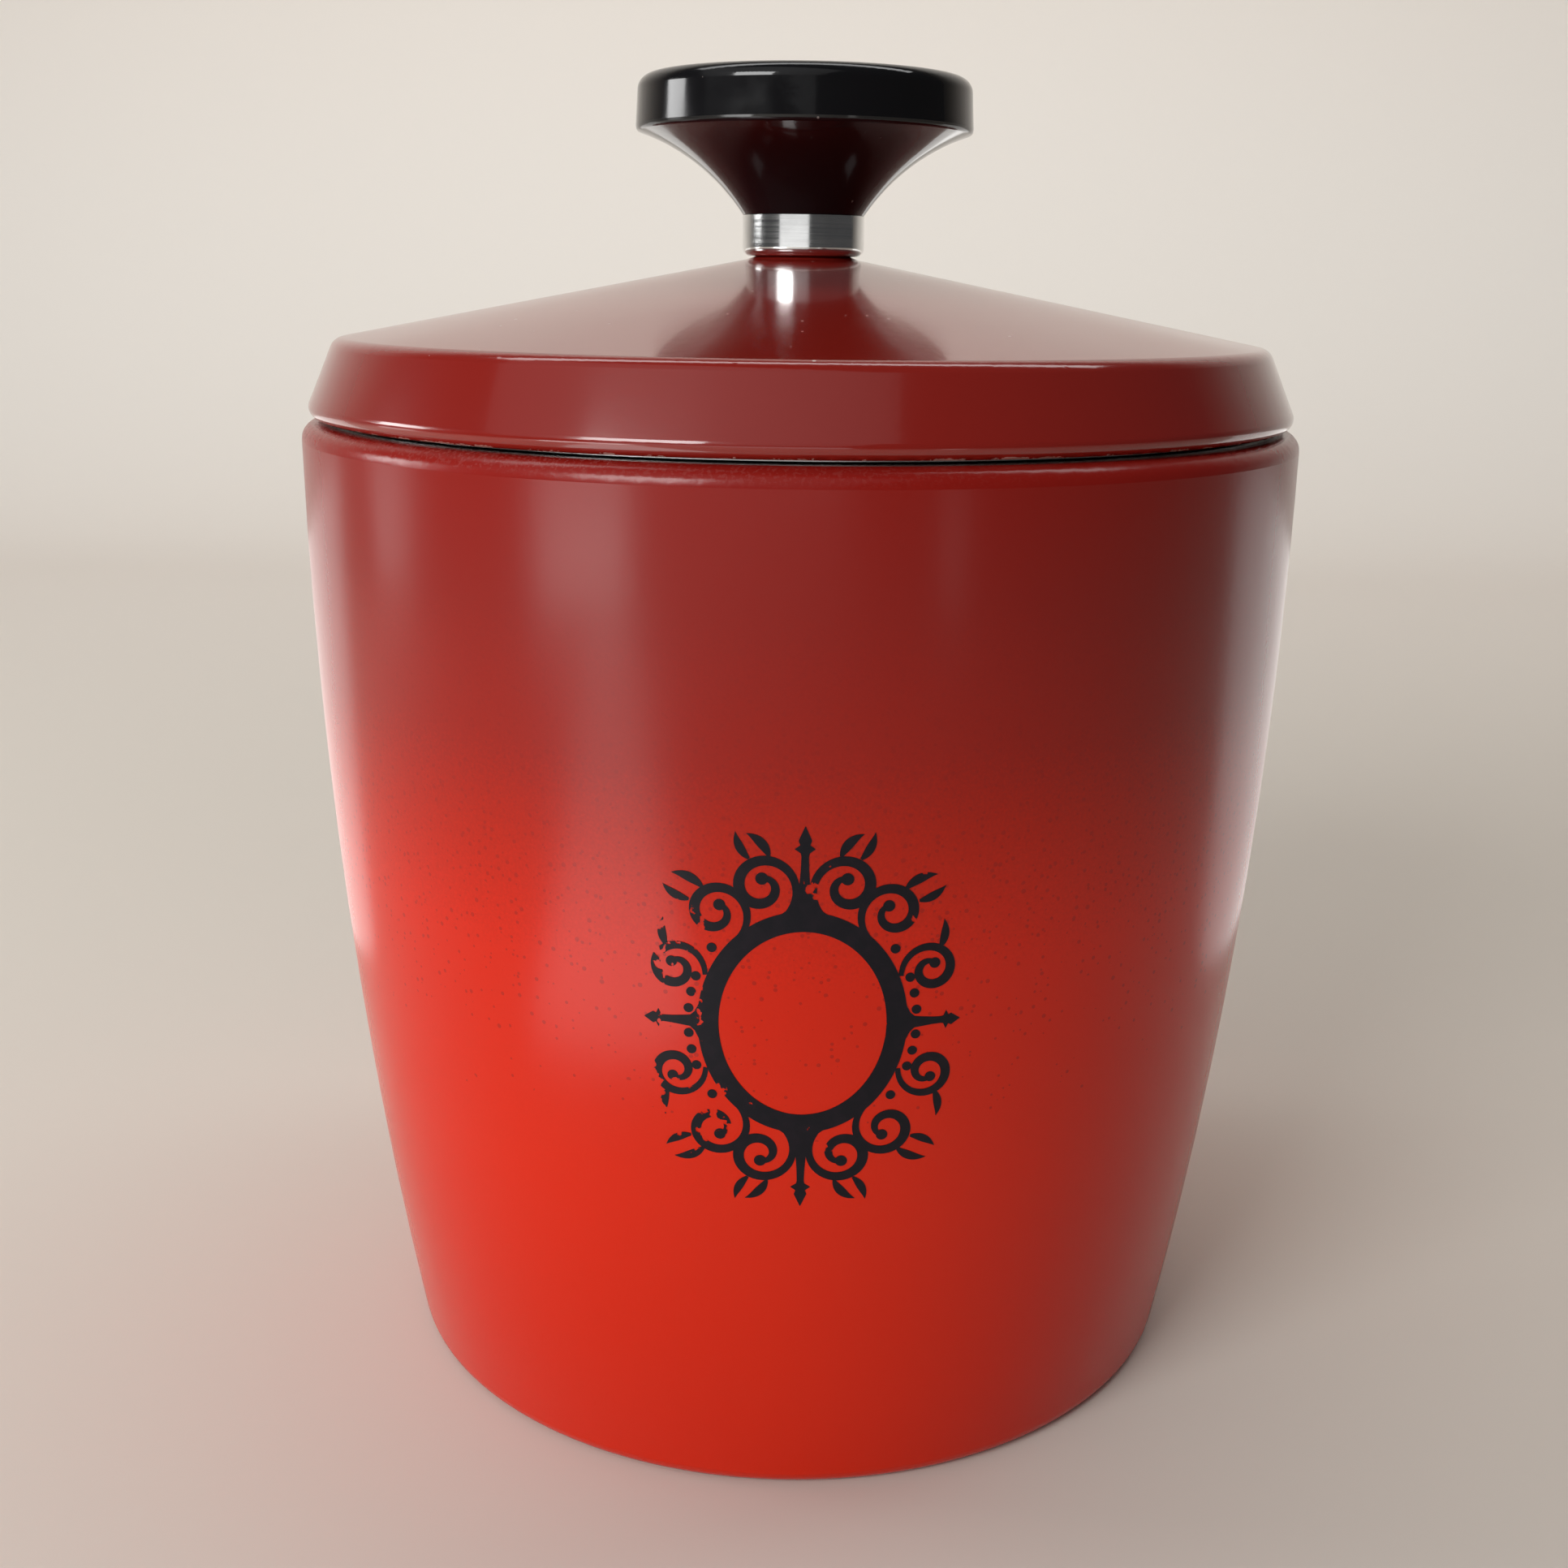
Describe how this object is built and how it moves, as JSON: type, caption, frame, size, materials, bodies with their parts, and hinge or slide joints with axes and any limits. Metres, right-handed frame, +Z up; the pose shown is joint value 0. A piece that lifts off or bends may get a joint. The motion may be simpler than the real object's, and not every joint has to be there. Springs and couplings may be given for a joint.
{
  "type": "grease canister",
  "caption": "Round footed canister with a perforated strainer dish in its mouth and a conical lid that lifts off by a moulded mushroom knob.",
  "frame": {"origin": "centre of the flat foot ring, on the surface that the canister stands on", "axes": "+Z up along the axis of the canister, -Y towards the front that carries the printed ornament, +X to the right seen from the front"},
  "size_m": [0.121, 0.121, 0.1582],
  "materials": {
    "enamelled_body": "gloss enamel fading from dark maroon at the top to orange red at the foot",
    "enamelled_lid": "gloss dark maroon enamel, chipped along the hem",
    "bare_aluminium": "drawn, satin",
    "bright_aluminium": "turned bright",
    "black_moulding": "gloss black thermoset",
    "brass_insert": "turned",
    "zinc_steel": "zinc plated"
  },
  "bodies": {
    "canister": {"canister_body": "enamelled_body"},
    "strainer": {"strainer": "bare_aluminium"},
    "lid": {"lid_shell": "enamelled_lid", "lid_plug_ring": "bare_aluminium", "ferrule": "bright_aluminium", "knob": "black_moulding", "knob_insert": "brass_insert", "knob_screw": "zinc_steel", "flat_washer": "zinc_steel", "lock_washer": "zinc_steel"}
  },
  "joints": [
    {"name": "strainer_lift", "type": "slide", "parent": "canister", "child": "strainer", "axis": [0, 0, 1], "range_m": [0, 0.05]},
    {"name": "lid_lift", "type": "slide", "parent": "strainer", "child": "lid", "axis": [0, 0, 1], "range_m": [0, 0.08]}
  ]
}
